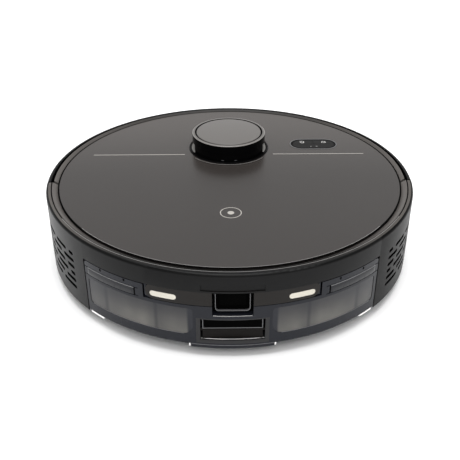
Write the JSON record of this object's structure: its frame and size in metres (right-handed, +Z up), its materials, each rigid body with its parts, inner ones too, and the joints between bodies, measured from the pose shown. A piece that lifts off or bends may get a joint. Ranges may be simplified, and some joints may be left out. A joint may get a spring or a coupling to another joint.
{
  "type": "robot vacuum",
  "caption": "Round robot vacuum with a raised laser turret, sprung front bumper, two-button panel, side vents and a smoked rear dust and water tank.",
  "frame": {"origin": "on the floor under the centre of the round body", "axes": "+Z up, +Y towards the bumper, -Y towards the tank, +X to the right seen from the tank side looking at the bumper"},
  "size_m": [0.35, 0.35, 0.099],
  "materials": {
    "shell_plastic": "satin dark grey",
    "core_plastic": "matt black",
    "gloss_black": "high gloss black",
    "cover_finish": "brushed warm grey lacquer",
    "panel_gloss": "gloss black-brown",
    "contact_metal": "polished plated",
    "accent_metal": "satin",
    "smoke_plastic": "smoked translucent",
    "smoke_window": "smoked clear",
    "frame_grey": "satin grey",
    "rim_lacquer": "satin lacquer",
    "deep_black": "matt",
    "lidar_cap_finish": "satin lacquer",
    "lens_glass": "dark clear",
    "rubber_black": "matt",
    "tyre_rubber": "matt ribbed",
    "spring_steel": "drawn wire",
    "motor_steel": "plated can",
    "board_green": "solder mask",
    "battery_wrap": "shrink wrap",
    "filter_paper": "pleated paper",
    "brush_rubber": "soft moulded",
    "sensor_glass": "dark window",
    "hub_plastic": "satin grey"
  },
  "bodies": {
    "chassis": {"base_chassis": "core_plastic", "side_shell_right": "shell_plastic", "side_shell_left": "shell_plastic", "rear_bridge": "shell_plastic", "contact_panel": "panel_gloss", "charging_contacts": "contact_metal", "top_deck": "core_plastic", "rim_trims": "rim_lacquer", "top_cover": "cover_finish", "accent_strips": "accent_metal", "control_bezel": "gloss_black", "status_lens": "gloss_black", "button_board": "board_green", "lidar_base": "gloss_black", "lidar_cap": "lidar_cap_finish", "lidar_motor": "motor_steel", "main_board": "board_green", "battery_pack": "battery_wrap", "battery_cover": "core_plastic", "brush_gearbox": "frame_grey", "brush_motor": "motor_steel", "brush_guard": "frame_grey", "fan_housing": "frame_grey", "fan_motor": "motor_steel", "side_brush_drives": "frame_grey", "cliff_windows": "sensor_glass", "floor_screws": "motor_steel", "speaker": "deep_black", "caster_socket": "frame_grey", "bumper_switches": "deep_black", "bumper_springs": "spring_steel", "wheel_spring_right": "spring_steel", "wheel_spring_left": "spring_steel"},
    "front_bumper": {"bumper_shell": "gloss_black", "bumper_window": "sensor_glass"},
    "power_key": {"power_button": "gloss_black"},
    "dock_key": {"dock_button": "gloss_black"},
    "lidar_head": {"lidar_rotor": "deep_black", "lidar_lenses": "lens_glass"},
    "impeller": {"fan_impeller": "frame_grey"},
    "main_brush": {"brush_core": "frame_grey", "brush_fins": "brush_rubber"},
    "right_side_brush": {"side_brush_right": "rubber_black"},
    "left_side_brush": {"side_brush_left": "rubber_black"},
    "right_wheel_arm": {"wheel_arm_right": "frame_grey"},
    "left_wheel_arm": {"wheel_arm_left": "frame_grey"},
    "right_wheel": {"wheel_hub_right": "hub_plastic", "tyre_right": "tyre_rubber"},
    "left_wheel": {"wheel_hub_left": "hub_plastic", "tyre_left": "tyre_rubber"},
    "caster_swivel": {"caster_fork": "frame_grey"},
    "caster_roller": {"caster_wheel": "hub_plastic"},
    "tank": {"tank_body": "smoke_plastic", "tank_lid": "frame_grey", "tank_windows": "smoke_window", "port_frame": "frame_grey", "bin_filter": "filter_paper"},
    "tank_release": {"release_button": "deep_black", "latch_spring": "spring_steel"},
    "dust_flap": {"port_flap": "deep_black"}
  },
  "joints": [
    {"name": "bumper_press", "type": "slide", "parent": "chassis", "child": "front_bumper", "axis": [0, -1, 0], "range_m": [0, 0.0025], "stiffness_N_per_m": 600, "springref_m": -0.002, "deforming": ["bumper_springs"]},
    {"name": "power_press", "type": "slide", "parent": "chassis", "child": "power_key", "axis": [0, 0, -1], "range_m": [0, 0.0008], "stiffness_N_per_m": 400, "springref_m": -0.0006},
    {"name": "dock_press", "type": "slide", "parent": "chassis", "child": "dock_key", "axis": [0, 0, -1], "range_m": [0, 0.0008], "stiffness_N_per_m": 400, "springref_m": -0.0006},
    {"name": "lidar_spin", "type": "hinge", "parent": "chassis", "child": "lidar_head", "pos_m": [0, 0.065, 0.08], "axis": [0, 0, 1], "continuous": true},
    {"name": "fan_spin", "type": "hinge", "parent": "chassis", "child": "impeller", "pos_m": [0.112, -0.08, 0.03], "axis": [0, 0, 1], "continuous": true},
    {"name": "brush_spin", "type": "hinge", "parent": "chassis", "child": "main_brush", "pos_m": [0, -0.038, 0.025], "axis": [1, 0, 0], "continuous": true},
    {"name": "right_side_brush_spin", "type": "hinge", "parent": "chassis", "child": "right_side_brush", "pos_m": [0.09899, 0.09899, 0.01], "axis": [0, 0, 1], "continuous": true},
    {"name": "left_side_brush_spin", "type": "hinge", "parent": "chassis", "child": "left_side_brush", "pos_m": [-0.09899, 0.09899, 0.01], "axis": [0, 0, 1], "continuous": true},
    {"name": "right_suspension", "type": "hinge", "parent": "chassis", "child": "right_wheel_arm", "pos_m": [0.12, 0.046, 0.036], "axis": [1, 0, 0], "range_deg": [-5.5, 24], "stiffness_Nm_per_rad": 3, "springref_deg": 11.46, "deforming": ["wheel_spring_right"]},
    {"name": "right_wheel_spin", "type": "hinge", "parent": "right_wheel_arm", "child": "right_wheel", "pos_m": [0.124, 0, 0.033], "axis": [1, 0, 0], "continuous": true},
    {"name": "left_suspension", "type": "hinge", "parent": "chassis", "child": "left_wheel_arm", "pos_m": [-0.12, 0.046, 0.036], "axis": [1, 0, 0], "range_deg": [-5.5, 24], "stiffness_Nm_per_rad": 3, "springref_deg": 11.46, "deforming": ["wheel_spring_left"]},
    {"name": "left_wheel_spin", "type": "hinge", "parent": "left_wheel_arm", "child": "left_wheel", "pos_m": [-0.124, 0, 0.033], "axis": [1, 0, 0], "continuous": true},
    {"name": "caster_turn", "type": "hinge", "parent": "chassis", "child": "caster_swivel", "pos_m": [0, 0.126, 0.03], "axis": [0, 0, 1], "continuous": true},
    {"name": "caster_spin", "type": "hinge", "parent": "caster_swivel", "child": "caster_roller", "pos_m": [0, 0.122, 0.011], "axis": [1, 0, 0], "continuous": true},
    {"name": "tank_slide", "type": "slide", "parent": "chassis", "child": "tank", "axis": [0, -1, 0], "range_m": [0, 0.12]},
    {"name": "release_press", "type": "slide", "parent": "tank", "child": "tank_release", "axis": [0, 1, 0], "range_m": [0, 0.0025], "stiffness_N_per_m": 500, "springref_m": -0.002, "deforming": ["latch_spring"]},
    {"name": "flap_swing", "type": "hinge", "parent": "tank", "child": "dust_flap", "pos_m": [0, -0.1704, 0.0268], "axis": [1, 0, 0], "range_deg": [0, 60], "stiffness_Nm_per_rad": 0.01, "springref_deg": -17.19}
  ]
}
